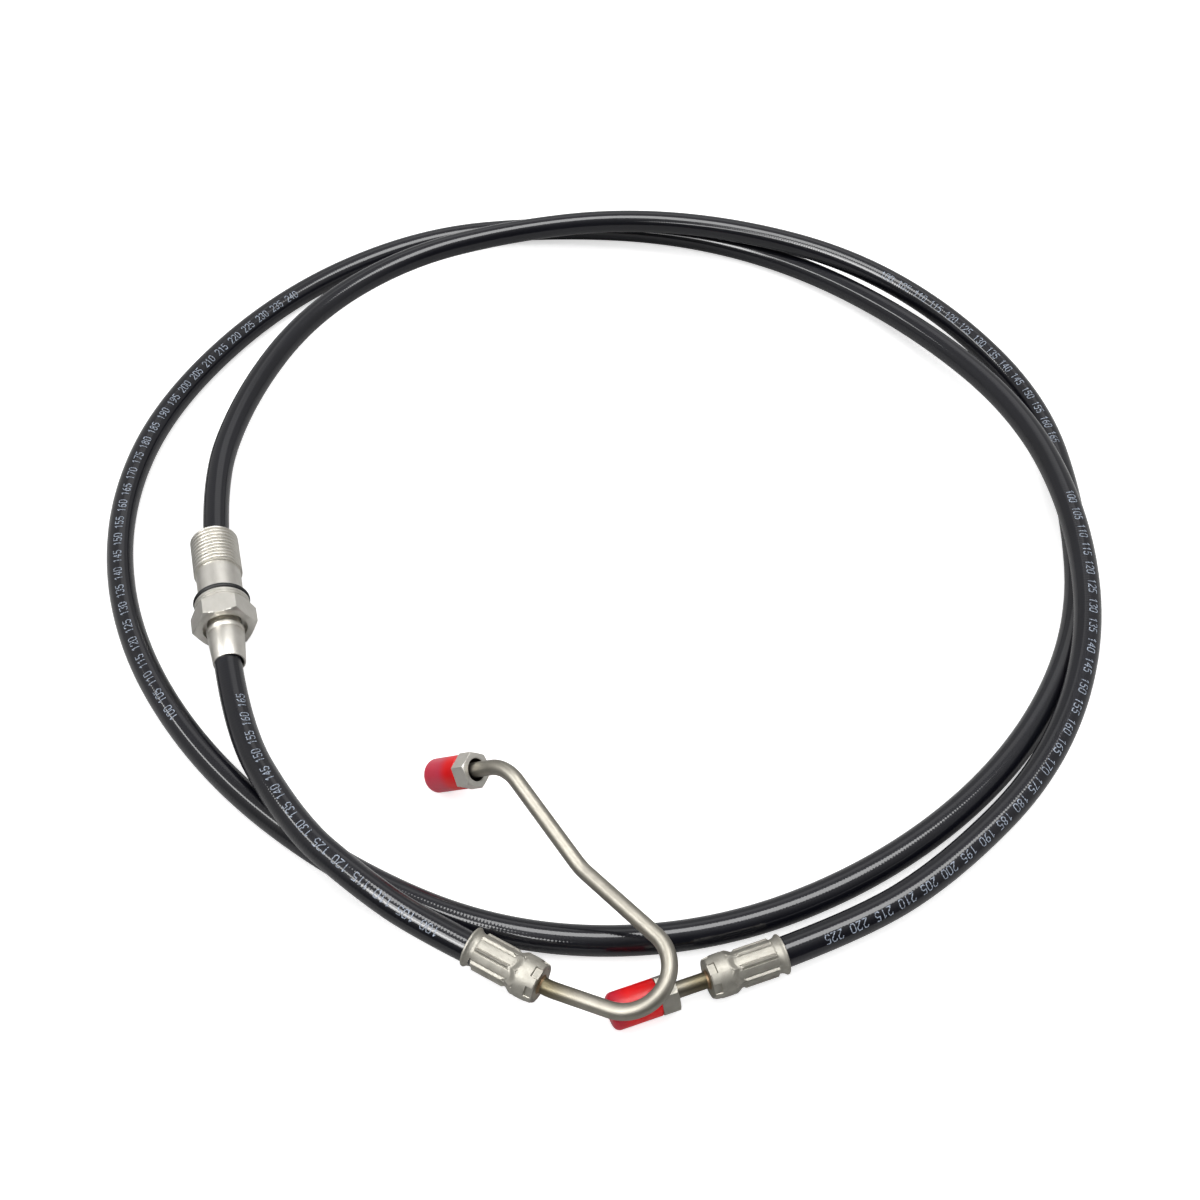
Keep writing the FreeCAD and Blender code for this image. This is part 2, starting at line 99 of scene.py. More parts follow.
def evenly(points, step):
    # the same line again with points at equal steps
    runs = [(b - a).length for a, b in zip(points, points[1:])]
    total = sum(runs)
    count = max(2, round(total / step))
    result = []
    index = 0
    passed = 0.0
    for number in range(count + 1):
        target = total * number / count
        while index < len(runs) - 1 and passed + runs[index] < target:
            passed += runs[index]
            index += 1
        share = (target - passed) / runs[index]
        result.append(points[index].lerp(points[index + 1], min(share, 1.0)))
    return result, total


def carried(points):
    # (direction, side, up) at each point, carried along the line without twist
    count = len(points)
    ahead = []
    for index in range(count):
        first = points[max(index - 1, 0)]
        last = points[min(index + 1, count - 1)]
        ahead.append((last - first).normalized())
    side = ahead[0].cross(Vector((0, 0, 1))).normalized()
    frames = []
    for before, here in zip([ahead[0]] + ahead, ahead):
        side = before.rotation_difference(here) @ side
        side = (side - here * side.dot(here)).normalized()
        frames.append((here, side, side.cross(here)))
    return frames


def headed(turn, slope=0.0):
    # direction from its heading and its slope, in degrees
    across = math.radians(turn)
    upward = math.radians(slope)
    flat = math.cos(upward)
    return Vector((flat * math.cos(across), flat * math.sin(across), math.sin(upward)))


def lyingAlong(point, direction):
    # a fitting's frame: Z along the direction, X as near to straight up as it can be
    axis = Vector(direction).normalized()
    across = axis.cross(Vector((0, 0, 1))).normalized()
    upward = across.cross(axis)
    turn = Matrix((upward, across, axis)).transposed()
    return Matrix.Translation(Vector(point)) @ turn.to_4x4()


# meshes

meshing = {
    "weld": 0.0001,  # points nearer than this become one
    "sharpAngle": 35.0,  # degrees, from which an edge stays sharp
    "mostOfSide": 0.4,  # share of a short side that the round at its corner may take
    "touch": 0.01,  # stations and radii nearer than this count as the same
    "threadStep": 0.1,  # between the rings that draw a thread
    "sides": 96,  # where a piece gives no number of its own
}


def makePiece(name, vertices, faces, uvs, material):
    mesh = bpy.data.meshes.new(name)
    mesh.from_pydata([Vector(v) * mm for v in vertices], [], faces)
    layer = mesh.uv_layers.new(name="run")
    for loop in mesh.loops:
        layer.data[loop.index].uv = uvs[loop.vertex_index]
    bm = bmesh.new()
    bm.from_mesh(mesh)
    bmesh.ops.remove_doubles(bm, verts=bm.verts, dist=meshing["weld"] * mm)
    bmesh.ops.recalc_face_normals(bm, faces=bm.faces)
    bm.to_mesh(mesh)
    bm.free()
    mesh.polygons.foreach_set("use_smooth", [True] * len(mesh.polygons))
    mesh.set_sharp_from_angle(angle=math.radians(meshing["sharpAngle"]))
    mesh.materials.append(material)
    piece = bpy.data.objects.new(name, mesh)
    bpy.context.scene.collection.objects.link(piece)
    return piece


def rounded(profile, radius):
    # each corner of a closed outline of (station, radius) becomes a small round
    corners = [Vector(p) for p in profile]
    result = []
    for index, corner in enumerate(corners):
        before = corners[index - 1]
        after = corners[(index + 1) % len(corners)]
        shorter = min((before - corner).length, (after - corner).length)
        reach = min(radius, shorter * meshing["mostOfSide"])
        first = corner + (before - corner).normalized() * reach
        last = corner + (after - corner).normalized() * reach
        result += [first, (first + last) / 4 + corner / 2, last]
    return result


def closer(profile, step):
    # the same closed outline with points no further apart than the step
    corners = [Vector(p) for p in profile]
    result = []
    for here, there in zip(corners, corners[1:] + corners[:1]):
        parts = max(1, math.ceil((there - here).length / step))
        result += [here.lerp(there, part / parts) for part in range(parts)]
    return result


def lathed(name, profile, place, material, sides=meshing["sides"], shape=None):
    # closed outline of (station, radius), whose run starts at its first point; shape changes
    # a radius by its place
    vertices = []
    uvs = []
    run = 0.0
    before = profile[0]
    widest = max(radius for station, radius in profile)
    for station, radius in profile:
        run += math.hypot(station - before[0], radius - before[1])
        before = (station, radius)
        for number in range(sides):
            angle = 2 * math.pi * number / sides
            reach = shape(station, radius, angle) if shape else radius
            local = Vector((reach * math.cos(angle), reach * math.sin(angle), station))
            vertices.append(place @ local)
            uvs.append((run, angle * widest))
    faces = []
    rings = len(profile)
    for ring in range(rings):
        above = (ring + 1) % rings
        for number in range(sides):
            beside = (number + 1) % sides
            faces.append((ring * sides + number, ring * sides + beside,
                          above * sides + beside, above * sides + number))
    return makePiece(name, vertices, faces, uvs, material)


def swept(name, points, radius, sides, material, runs):
    # round bar along points
    frames = carried(points)
    vertices = []
    uvs = []
    for (ahead, side, up), point, run in zip(frames, points, runs):
        for number in range(sides + 1):
            angle = 2 * math.pi * number / sides
            vertices.append(point + (up * math.cos(angle) + side * math.sin(angle)) * radius)
            uvs.append((run, angle * radius))
    faces = []
    row = sides + 1
    for ring in range(len(points) - 1):
        for number in range(sides):
            start = ring * row + number
            faces.append((start, start + 1, start + row + 1, start + row))
    faces.append(tuple(reversed(range(sides))))
    last = (len(points) - 1) * row
    faces.append(tuple(range(last, last + sides)))
    return makePiece(name, vertices, faces, uvs, material)


# colours and material nodes

def hexColour(text):
    # sRGB hex to the linear values that nodes take
    channels = []
    for start in (1, 3, 5):
        level = int(text[start:start + 2], 16) / 255
        channels.append(level / 12.92 if level <= 0.04045 else ((level + 0.055) / 1.055) ** 2.4)
    return (*channels, 1.0)


def setInputs(tree, node, inputs):
    # plain values, or other nodes' outputs, on a node's inputs
    for key, value in inputs.items():
        if isinstance(value, bpy.types.NodeSocket):
            tree.links.new(value, node.inputs[key])
        else:
            node.inputs[key].default_value = value


def addNode(tree, kind, settings=None, inputs=None, stops=()):
    # a node with its settings and inputs, and a ramp's stops of (position, colour)
    node = tree.nodes.new(kind)
    for key, value in (settings or {}).items():
        setattr(node, key, value)
    for number, (position, colour) in enumerate(stops):
        node.color_ramp.elements[number].position = position
        node.color_ramp.elements[number].color = hexColour(colour)
    setInputs(tree, node, inputs or {})
    return node


def startMaterial(name, roughness, metallic=0.0, ior=1.5):
    material = bpy.data.materials.new(name)
    material.use_nodes = True
    tree = material.node_tree
    shader = tree.nodes["Principled BSDF"]
    setInputs(tree, shader, {"Roughness": roughness, "Metallic": metallic, "IOR": ior})
    return material, tree, shader


def patternPlace(tree, along, around=None):
    # the mesh's own run and girth, counted in steps of one length or of two
    place = addNode(tree, "ShaderNodeTexCoord")
    scaled = addNode(tree, "ShaderNodeMapping", None,
                     {"Vector": place.outputs["UV"],
                      "Scale": (1 / along, 1 / (around or along), 1.0)})
    return scaled.outputs["Vector"]


def patches(tree, detail, *size):
    # soft patches of about this size, as values from 0 to 1
    noise = addNode(tree, "ShaderNodeTexNoise", None,
                    {"Vector": patternPlace(tree, *size), "Scale": 1.0, "Detail": detail})
    return noise.outputs["Fac"]


def wearBy(tree, shader, pattern, finish):
    # roughness and relief that both follow a pattern
    polish = addNode(tree, "ShaderNodeMapRange", None,
                     {"Value": pattern, "To Min": finish["smooth"], "To Max": finish["rough"]})
    relief = addNode(tree, "ShaderNodeBump", None,
                     {"Height": pattern, "Strength": finish["strength"],
                      "Distance": finish["depth"] * mm})
    setInputs(tree, shader, {"Roughness": polish.outputs["Result"],
                             "Normal": relief.outputs["Normal"]})


def colourAlong(tree, first, second, start, end, easing="SMOOTHSTEP"):
    # the first colour gives way to the second between two run lengths
    run = addNode(tree, "ShaderNodeSeparateXYZ", None, {0: patternPlace(tree, 1.0)})
    share = addNode(tree, "ShaderNodeMapRange", {"interpolation_type": easing},
                    {"Value": run.outputs["X"], "From Min": start, "From Max": end})
    mixed = addNode(tree, "ShaderNodeMix", {"data_type": "RGBA"},
                    {0: share.outputs["Result"], 6: first, 7: second})
    return mixed.outputs[2]


hoseFinish = {
    "black": "#08080f",
    "worn": "#0f1018",
    "scuffEdges": (0.3, 0.7),  # where in the noise the black ends and the worn tint starts
    "scuffSize": 60.0,  # slow change from gloss to dull
    "gloss": 0.3,  # roughness of the cover itself, under its skin
    "dull": 0.55,
    "specular": 0.12,
    "skinRoughness": 0.06,
    "skinIor": 1.46,
    "ripplePitch": 1.35,  # between the fine cross ripples that the extruder leaves
    "rippleDepth": 0.012,
    "rippleWander": 1.2,
    "waveScale": 0.314,  # at this scale the wave texture has one wave in each unit
    "grainSize": 1 / 3,
    "grainDepth": 0.02,
    "grainStrength": 0.3,
}


def extrudedCover(name):
    # black polyurethane, extruded: a glossy skin, dulled by scuffs in places, with fine cross
    # ripples that break up its long highlights
    material, tree, shader = startMaterial(name, hoseFinish["gloss"])
    scuffs = patches(tree, 6.0, hoseFinish["scuffSize"])
    tint = addNode(tree, "ShaderNodeValToRGB", None, {"Fac": scuffs},
                   zip(hoseFinish["scuffEdges"], (hoseFinish["black"], hoseFinish["worn"])))
    polish = addNode(tree, "ShaderNodeMapRange", None,
                     {"Value": scuffs,
                      "To Min": hoseFinish["gloss"], "To Max": hoseFinish["dull"]})
    grain = patches(tree, 2.0, hoseFinish["grainSize"])
    rough = addNode(tree, "ShaderNodeBump", None,
                    {"Height": grain, "Strength": hoseFinish["grainStrength"],
                     "Distance": hoseFinish["grainDepth"] * mm})
    ripplePlace = patternPlace(tree, hoseFinish["ripplePitch"], math.inf)  # the same all round
    ripples = addNode(tree, "ShaderNodeTexWave",
                      {"bands_direction": "X", "wave_profile": "SIN"},
                      {"Vector": ripplePlace, "Scale": hoseFinish["waveScale"],
                       "Distortion": hoseFinish["rippleWander"],
                       "Detail": 1.0, "Detail Scale": 1.5})
    relief = addNode(tree, "ShaderNodeBump", None,
                     {"Height": ripples.outputs["Fac"], "Strength": 1.0,
                      "Distance": hoseFinish["rippleDepth"] * mm,
                      "Normal": rough.outputs["Normal"]})
    setInputs(tree, shader, {
        "Base Color": tint.outputs["Color"],
        "Roughness": polish.outputs["Result"],
        "Normal": relief.outputs["Normal"],
        "Specular IOR Level": hoseFinish["specular"],
        "Coat Weight": 1.0,
        "Coat IOR": hoseFinish["skinIor"],
        "Coat Roughness": hoseFinish["skinRoughness"],
        "Coat Normal": relief.outputs["Normal"],
    })
    return material


inkFinish = {
    "worn": "#1f242d", "fresh": "#b4c0d2", "wearEdges": (0.34, 0.62),
    "patchSize": 0.625, "roughness": 0.55,
}


def printedInk(name):
    # pale inkjet ink, thin enough for the black to show through in patches
    material, tree, shader = startMaterial(name, inkFinish["roughness"])
    wear = patches(tree, 3.0, inkFinish["patchSize"])
    tint = addNode(tree, "ShaderNodeValToRGB", None, {"Fac": wear},
                   zip(inkFinish["wearEdges"], (inkFinish["worn"], inkFinish["fresh"])))
    setInputs(tree, shader, {"Base Color": tint.outputs["Color"]})
    return material


steelFinish = {
    "cloudSize": 4.55,  # slow changes of tint where the polish is uneven
    "cloudEdges": (0.25, 0.75),
    "leastRough": 0.75,  # as shares of a finish's own roughness
    "mostRough": 1.3,
    "markStrength": 0.2,
    # heat tint near the brazed end, partly painted shade for the dark reflection there
    "heatTintAndShade": "#6b6450",
    "brownestUpTo": 0.3,  # share of the brown band's length before it starts to fade
    # painted shade inside a nut's mouth, and the run length over which it fades in
    "mouthShade": "#34312c",
    "fadeIntoMouthShade": 0.3,
    "nutMarks": (0.286, 20.0),  # along and around, drawn coarser than real ones so that they show
    "nutMouthRun": 42.5,  # along a nut's outline from its face, over the thread, to its mouth
}


def satinSteel(name, dark, light, roughness, markSize, markDepth, brownAndShadeTo=0.0, shadedMouthFrom=0.0):
    # steel with fine tool marks and a slightly uneven polish: soft, faintly streaked reflections
    material, tree, shader = startMaterial(name, roughness, metallic=1.0)
    wearBy(tree, shader, patches(tree, 3.0, *markSize), {
        "smooth": roughness * steelFinish["leastRough"],
        "rough": roughness * steelFinish["mostRough"],
        "strength": steelFinish["markStrength"],
        "depth": markDepth,
    })
    clouds = patches(tree, 4.0, steelFinish["cloudSize"])
    tint = addNode(tree, "ShaderNodeValToRGB", None, {"Fac": clouds},
                   zip(steelFinish["cloudEdges"], (dark, light)))
    colour = tint.outputs["Color"]
    if brownAndShadeTo:
        # browned by the brazing torch, and partly painted shade for the dark reflection near the
        # ferrule, fading along the run
        colour = colourAlong(tree, hexColour(steelFinish["heatTintAndShade"]), colour,
                             brownAndShadeTo * steelFinish["brownestUpTo"], brownAndShadeTo)
    if shadedMouthFrom:
        # painted shade: dark from this run length on, which is the bore's mouth
        colour = colourAlong(tree, colour, hexColour(steelFinish["mouthShade"]),
                             shadedMouthFrom, shadedMouthFrom + steelFinish["fadeIntoMouthShade"], "LINEAR")
    setInputs(tree, shader, {"Base Color": colour})
    return material


rubberFinish = {
    "dark": "#0b0b0c", "light": "#191919", "tintEdges": (0.3, 0.7),
    "smooth": 0.4, "rough": 0.65, "grainSize": 0.5, "depth": 0.03, "strength": 0.3,
}


def softRubber(name):
    # black nitrile rubber, moulded: dull, with a very fine grain
    material, tree, shader = startMaterial(name, rubberFinish["smooth"])
    grain = patches(tree, 3.0, rubberFinish["grainSize"])
    wearBy(tree, shader, grain, rubberFinish)
    tint = addNode(tree, "ShaderNodeValToRGB", None, {"Fac": grain},
                   zip(rubberFinish["tintEdges"], (rubberFinish["dark"], rubberFinish["light"])))
    setInputs(tree, shader, {"Base Color": tint.outputs["Color"]})
    return material


capFinish = {
    "overThread": "#e3080e",
    "fade": 3.0,
    "ior": 1.51,
    "specular": 0.35,
    "smooth": 0.26,
    "rough": 0.38,
    "waveSize": 4.0,  # slow unevenness of the moulding
    "depth": 0.05,
    "strength": 0.2,
    "inside": 0.4,  # share of the light that goes in and comes out again
    "insideReach": (2.0, 0.3, 0.3),  # how far its red, green and blue get
}


def clearRed(name, hollow, clearFrom):
    # soft polyethylene, moulded, translucent red with a waxy sheen; hollow is its frosted,
    # pinker colour from this run length on, where nothing stands close behind the wall
    material, tree, shader = startMaterial(name, capFinish["smooth"], ior=capFinish["ior"])
    colour = colourAlong(tree, hexColour(capFinish["overThread"]), hexColour(hollow),
                         clearFrom - capFinish["fade"], clearFrom + capFinish["fade"])
    waves = patches(tree, 1.0, capFinish["waveSize"])
    wearBy(tree, shader, waves, capFinish)
    setInputs(tree, shader, {
        "Base Color": colour,
        "Specular IOR Level": capFinish["specular"],
        "Subsurface Weight": capFinish["inside"],
        "Subsurface Radius": tuple(reach * mm for reach in capFinish["insideReach"]),
        "Subsurface Scale": 1.0,
    })
    return material


glossCover = extrudedCover("black polyurethane, extruded")
hoseInk = printedInk("white inkjet print")
# tumbled after plating: matt and even, with a slight grain
castSteel = satinSteel("crimped steel, plated and tumbled", "#949189", "#b2afa6", 0.56,
                       (0.556, 0.556), 0.09)
# drawn through a die: faint lines along the tube, brown where it was brazed, and partly painted
# shade near the ferrule
tubeSteel = satinSteel("steel tube, drawn", "#8f8b82", "#9e9a90", 0.46, (20.0, 0.4), 0.008,
                       brownAndShadeTo=26.0)
# turned from bar and zinc plated: faint rings; both nuts are the same steel, one painted lighter
# and the other painted darker for how the light falls on them
leftNutSteelPaintedLighter = satinSteel("nut steel, painted lighter", "#d2cfc7", "#dddad3", 0.48,
                          steelFinish["nutMarks"], 0.012, shadedMouthFrom=steelFinish["nutMouthRun"])
rightNutSteelPaintedDarker = satinSteel("nut steel, painted darker", "#a8a59b", "#bab7ae", 0.45,
                           steelFinish["nutMarks"], 0.012, shadedMouthFrom=steelFinish["nutMouthRun"])
# turned and left bare: the brightest of the metals, with faint rings
machinedSteel = satinSteel("stainless steel, turned", "#d4d1c9", "#e0ddd6", 0.4,
                           (1 / 3, 25.0), 0.012)
# turned and duller, on the inserts, of which little shows
hiddenSteel = satinSteel("insert steel, turned", "#a19c8e", "#b4b0a3", 0.45,
                         (1 / 3, 20.0), 0.012)
# filler run out by the torch: brown, uneven and dull
brazedSteel = satinSteel("brazed joint, heat stained", "#6e563f", "#a08c70", 0.5,
                         (1.25, 1.25), 0.04)
sealRubber = softRubber("nitrile rubber, moulded")
leftCapPlastic = clearRed("red polyethylene, frosted", "#cc3a50", 7.0)
rightCapPlastic = clearRed("red polyethylene, moulded", "#c41c33", 14.0)
print("materials made")


# where the fittings lie

bulkheadPlace = {"start": (-97.1, 43.9, 12.0), "heading": 104.6}
leftPlace = {"mouth": (10.3, -86.1, 15.4), "heading": -29.5, "slope": -0.8}
rightPlace = {"mouth": (122.5, -85.5, 8.4), "heading": 199.5, "slope": -0.9}

bulkheadStart = Vector(bulkheadPlace["start"])
bulkheadAlong = headed(bulkheadPlace["heading"])
bulkheadFrame = lyingAlong(bulkheadStart, bulkheadAlong)
leftMouth = Vector(leftPlace["mouth"])
leftAlong = headed(leftPlace["heading"], leftPlace["slope"])
rightMouth = Vector(rightPlace["mouth"])
rightAlong = headed(rightPlace["heading"], rightPlace["slope"])


# hose: two free stretches that meet in the middle of the bulkhead

hose = {
    "outer": 11.4,
    "sides": 32,
    "step": 2.5,  # between rings
    "insideFerrule": 20.4,  # from the ferrule's mouth to the hose's end
    "insideBulkhead": 35.5,  # from the sleeve's mouth to where the two stretches meet
}
hoseMiddle = bulkheadStart + bulkheadAlong * hose["insideBulkhead"]

longRoute = [
    hoseMiddle,
    (-122.0, 140.5, 12.0), (-116.2, 204.9, 12.5), (-92.0, 267.4, 13.5),
    (-47.4, 311.5, 15.0), (6.5, 332.3, 16.5), (66.5, 341.7, 18.1),
    (127.6, 332.4, 18.9), (188.2, 308.1, 17.2), (237.2, 268.4, 10.0),
    (270.5, 207.7, 6.2), (273.6, 136.5, 5.7), (261.7, 64.3, 5.7),
    (223.5, 0.0, 5.7), (165.5, -49.5, 5.7), (96.5, -78.7, 5.7),
    (23.3, -79.2, 5.7), (-43.3, -49.3, 5.7), (-103.3, -0.2, 5.7),
    (-147.2, 65.7, 5.7), (-165.0, 139.5, 5.7), (-154.2, 213.0, 5.7),
    (-108.1, 291.7, 5.7), (-41.4, 340.9, 5.7), (28.5, 351.4, 5.7),
    (100.6, 345.7, 5.7), (164.0, 317.3, 6.0), (218.8, 261.0, 10.5),
    (256.8, 192.8, 16.9), (269.0, 123.5, 18.4), (261.7, 52.5, 17.4),
    (234.2, -6.7, 12.5), (187.2, -52.0, 9.5), (147.0, -76.5, 8.8),
    rightMouth + rightAlong * hose["insideFerrule"],
]
shortRoute = [
    leftMouth + leftAlong * hose["insideFerrule"],
    (-8.0, -77.7, 15.7), (-31.7, -62.0, 19.2), (-59.5, -37.5, 18.8),
    (-93.2, 17.7, 12.0),
    hoseMiddle,
]


def makeHose(name, node, route):
    points, length = evenly(splinePoints(name, route), hose["step"])
    runs = [length * index / (len(points) - 1) for index in range(len(points))]
    piece = swept(name, points, hose["outer"] / 2, hose["sides"], glossCover, runs)
    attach(piece, "hose_line")
    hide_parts(node)
    print(name, f"{length:.0f} mm long")
    return points, runs


longPoints, longRuns = makeHose("hoseLong", "hose_long", longRoute)
shortPoints, shortRuns = makeHose("hoseShort", "hose_short", shortRoute)


# printed line on the hose: plain numbers that count up

marks = {
    "firstNumber": 100, "countStep": 5,
    "height": 3.3, "width": 1.75, "pitch": 2.6, "stroke": 0.36,
    "pastEnd": 0.6,  # of half a stroke, past each end of a pen line
    "pieceLength": 0.9,  # a longer pen line is cut up, so that it follows the hose
    "proud": 0.02,
    "layer": 0.002,  # each pen line above the one before, so that none share a plane
    # stretches: from one run length to another, and the degrees outward from facing the
    # viewer at its start and at its end
    "longStretches": [(520, 665, 0, 0), (1240, 1540, -14, -4), (2045, 2312, 4, 0)],
    "shortStretches": [(32, 170, -8, -46)],
}
digitStrokes = {  # each digit's pen lines, across and up, from 0 to 1
    "0": [(0.2, 0), (0, 0.2), (0, 0.8), (0.2, 1), (0.8, 1), (1, 0.8), (1, 0.2), (0.8, 0),
          (0.2, 0)],
    "1": [(0.15, 0.78), (0.55, 1), (0.55, 0)],
    "2": [(0, 0.8), (0.2, 1), (0.8, 1), (1, 0.8), (1, 0.6), (0, 0), (1, 0)],
    "3": [(0, 0.88), (0.25, 1), (0.8, 1), (1, 0.76), (0.6, 0.53), (1, 0.28), (0.8, 0),
          (0.2, 0), (0, 0.13)],
    "4": [(0.75, 0), (0.75, 1), (0, 0.3), (1, 0.3)],
    "5": [(0.95, 1), (0.1, 1), (0.05, 0.55), (0.7, 0.58), (1, 0.35), (0.8, 0), (0.2, 0),
          (0, 0.13)],
    "6": [(0.85, 1), (0.3, 0.85), (0, 0.4), (0.2, 0), (0.8, 0), (1, 0.3), (0.75, 0.55),
          (0.1, 0.5)],
    "7": [(0, 1), (1, 1), (0.35, 0)],
    "8": [(0.3, 0.53), (0.05, 0.78), (0.3, 1), (0.7, 1), (0.95, 0.78), (0.7, 0.53), (0.3, 0.53),
          (0, 0.25), (0.25, 0), (0.75, 0), (1, 0.25), (0.7, 0.53)],
    "9": [(0.15, 0), (0.7, 0.15), (1, 0.6), (0.8, 1), (0.2, 1), (0, 0.7), (0.25, 0.45),
          (0.9, 0.5)],
}


def numberLine(count):
    # "100 105 110 115 ..." as one string, at least so long and ending in a whole number
    text = ""
    number = marks["firstNumber"]
    while len(text) < count:
        text += f"{number} "
        number += marks["countStep"]
    return text


def printOn(name, points, runs, stretches):
    frames = carried(points)
    vertices = []
    faces = []
    uvs = []
    step = runs[1] - runs[0]

    def onSurface(run, girth, offset, radius):
        # the place at this run length and this far round from the middle of the line
        index = min(int(run / step), len(points) - 2)
        share = run / step - index
        point = points[index].lerp(points[index + 1], share)
        ahead = frames[index][0].lerp(frames[index + 1][0], share).normalized()
        toward = (toViewer - ahead * toViewer.dot(ahead)).normalized()
        outward = ahead.cross(toward) * -1
        angle = math.radians(offset) + girth / radius
        return point + (toward * math.cos(angle) + outward * math.sin(angle)) * radius

    for start, end, first, last in stretches:
        line = numberLine(int((end - start) / marks["pitch"]))
        for number, letter in enumerate(line):
            left = start + number * marks["pitch"]
            offset = first + (last - first) * number / len(line)
            pen = [Vector((left + across * marks["width"], (up - 0.5) * marks["height"]))
                   for across, up in digitStrokes.get(letter, [])]
            for order, (here, there) in enumerate(zip(pen, pen[1:])):
                radius = hose["outer"] / 2 + marks["proud"] + order * marks["layer"]
                along = (there - here).normalized() * marks["stroke"] / 2
                side = Vector((-along.y, along.x))
                here, there = here - along * marks["pastEnd"], there + along * marks["pastEnd"]
                parts = max(1, round((there - here).length / marks["pieceLength"]))
                for part in range(parts + 1):
                    middle = here.lerp(there, part / parts)
                    for corner in (middle + side, middle - side):
                        vertices.append(onSurface(corner.x, corner.y, offset, radius))
                        uvs.append(tuple(corner))
                    if part:
                        newest = len(vertices) - 1
                        faces.append((newest - 3, newest - 2, newest, newest - 1))
    piece = makePiece(name, vertices, faces, uvs, hoseInk)
    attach(piece, "hose_line")


printOn("longPrint", longPoints, longRuns, marks["longStretches"])
printOn("shortPrint", shortPoints, shortRuns, marks["shortStretches"])
print("hose laid and printed")


# bulkhead: crimped sleeve, threaded body with its hexagon, seal ring

bevelSlope = 30.0  # degrees between a hexagon's face and the cone that takes its corners off


def hexRadius(flats, angle):
    # distance from the axis to a hexagon's side; a flat faces angle zero
    sixth = math.pi / 3
    inside = (angle + sixth / 2) % sixth - sixth / 2
    return flats / 2 / math.cos(inside)


def hexCorner(flats):
    return flats / 2 / math.cos(math.pi / 6)


def bevelRadius(flats, depth):
    # the bevel's cone, so deep behind the hexagon's face
    return flats / 2 + depth / math.tan(math.radians(bevelSlope))


def bevelDepths(flats, steps):
    # from the face to where the bevel has left the corners
    deepest = (hexCorner(flats) - flats / 2) * math.tan(math.radians(bevelSlope))
    return [deepest * step / steps for step in range(1, steps + 1)]


def threadStations(start, end):
    count = int((end - start) / meshing["threadStep"])
    return [start + meshing["threadStep"] * step for step in range(1, count + 1)]


def threadCut(turns):
    # 0 at a crest and 1 at a root
    return 0.5 - 0.5 * math.cos(2 * math.pi * turns)


sleeve = {
    "boreGap": 0.05, "mouthEdge": (0.4, 0.2),  # length and rise of the mouth's inner edge
    "mouthOuter": 13.4, "headOuter": 15.9, "headEnd": 18.6, "rimDrop": 0.7, "rimLength": 1.0,
    "grooveAt": 15.3, "grooveWidth": 0.5, "grooveDepth": 0.18,
    "neckOuter": 13.8, "flangeStart": 24.3, "flangeOuter": 16.2, "flangeEnd": 27.3,
    "edge": 0.25,
}


def makeSleeve():
    bore = hose["outer"] / 2 + sleeve["boreGap"]
    mouth = sleeve["mouthOuter"] / 2
    head = sleeve["headOuter"] / 2
    neck = sleeve["neckOuter"] / 2
    flange = sleeve["flangeOuter"] / 2
    edgeLength, edgeRise = sleeve["mouthEdge"]
    taperEnd = sleeve["headEnd"] - sleeve["rimLength"]
    atGroove = mouth + (head - mouth) * sleeve["grooveAt"] / taperEnd
    grooveStart = sleeve["grooveAt"] - sleeve["grooveWidth"] / 2
    grooveEnd = sleeve["grooveAt"] + sleeve["grooveWidth"] / 2
    outline = [
        (0, bore + edgeRise),
        (0, mouth),
        (grooveStart, atGroove),
        (grooveStart, atGroove - sleeve["grooveDepth"]),
        (grooveEnd, atGroove - sleeve["grooveDepth"]),
        (grooveEnd, atGroove),
        (taperEnd, head),
        (sleeve["headEnd"], head - sleeve["rimDrop"]),
        (sleeve["headEnd"], neck),
        (sleeve["flangeStart"], neck),
        (sleeve["flangeStart"], flange),
        (sleeve["flangeEnd"], flange),
        (sleeve["flangeEnd"], bore),
        (edgeLength, bore),
    ]
    piece = lathed("bulkheadSleeve", rounded(outline, sleeve["edge"]), bulkheadFrame, machinedSteel)
    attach(piece, "hose_line")
    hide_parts("bulkhead_sleeve")


body = {
    "flats": 24.0, "hexStart": 19.0, "hexEnd": 28.6, "bevelSteps": 6,
    "recessOuter": 18.6, "recessFloor": 22.0, "lipBore": 14.4, "lipEnd": 24.0,
    "chamberBore": 16.8, "chamberEnd": 27.6, "bore": 12.2,
    "collarOuter": 23.2, "collarEnd": 33.0,
    "lineAt": (29.9, 31.3), "lineDepth": 0.22, "lineWidth": 0.35,  # turned lines on the collar
    "neckOuter": 19.1, "threadOuter": 20.8, "threadStart": 50.3, "threadEnd": 71.0,
    "threadPitch": 1.95, "threadDepth": 1.1, "threadRunIn": 0.8,
    "rootSharpness": 1.9,  # above 1 the roots get narrow and the crests wide
    "chamfer": 0.9, "edge": 0.3, "sides": 144,
}


def bodyShape(station, radius, angle):
    touch = meshing["touch"]
    inHexagon = body["hexStart"] - touch <= station <= body["hexEnd"] + touch
    if inHexagon and radius > body["recessOuter"] / 2 + touch:
        return min(radius, hexRadius(body["flats"], angle),
                   bevelRadius(body["flats"], station - body["hexStart"]),
                   bevelRadius(body["flats"], body["hexEnd"] - station))
    inThread = body["threadStart"] < station < body["threadEnd"]
    if inThread and radius > body["neckOuter"] / 2:
        turns = (station - body["threadStart"]) / body["threadPitch"] - angle / (2 * math.pi)
        cut = threadCut(turns) ** body["rootSharpness"]
        runIn = min(1.0, (station - body["threadStart"]) / body["threadRunIn"])
        return radius - body["threadDepth"] * cut * runIn
    return radius


